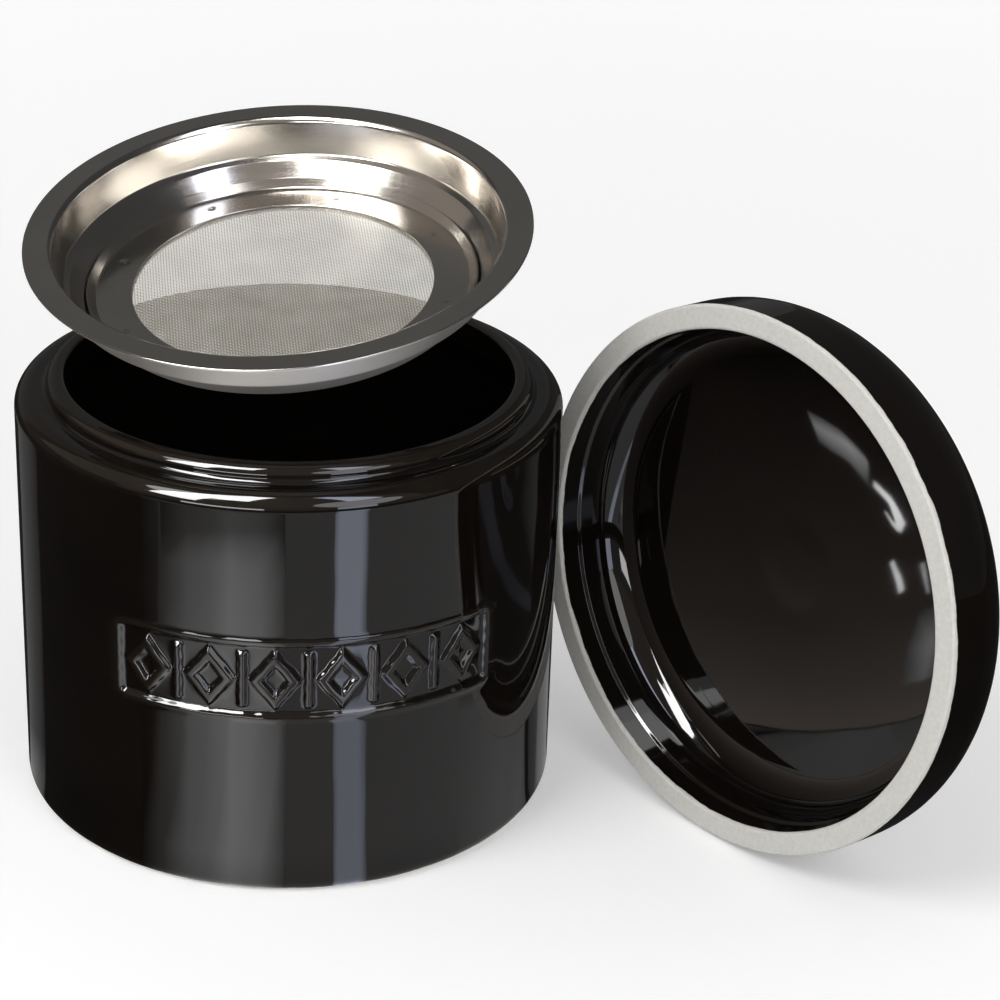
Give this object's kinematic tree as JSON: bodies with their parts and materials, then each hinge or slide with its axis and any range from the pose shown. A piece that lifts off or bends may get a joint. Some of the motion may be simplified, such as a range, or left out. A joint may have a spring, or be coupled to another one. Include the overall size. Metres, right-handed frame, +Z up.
{
  "type": "bacon grease container",
  "caption": "Glossy black stoneware grease crock with a relief panel, a lift-out steel mesh strainer above its mouth and its loose lid standing beside it.",
  "frame": {"origin": "centre of the crock's foot, on the table", "axes": "+Z up out of the crock's mouth, -Y out of the relief panel on its front"},
  "size_m": [0.2175, 0.1637, 0.1549],
  "materials": {
    "black_glaze": "glossy",
    "steel": "satin",
    "steel_mesh": "satin"
  },
  "bodies": {
    "crock": {"crock": "black_glaze"},
    "lid": {"lid": "black_glaze"},
    "strainer": {"strainer_pan": "steel", "strainer_mesh": "steel_mesh", "mesh_clamp_ring": "steel"}
  },
  "joints": [
    {"name": "lid_lift", "type": "slide", "parent": "crock", "child": "lid", "axis": [0, 0, 1], "range_m": [0, 0.12]},
    {"name": "strainer_lift", "type": "hinge", "parent": "crock", "child": "strainer", "pos_m": [-0.07692, -0.16495, 0.08649], "axis": [0.9063, -0.4226, 0], "range_deg": [-11.8, 6]}
  ]
}
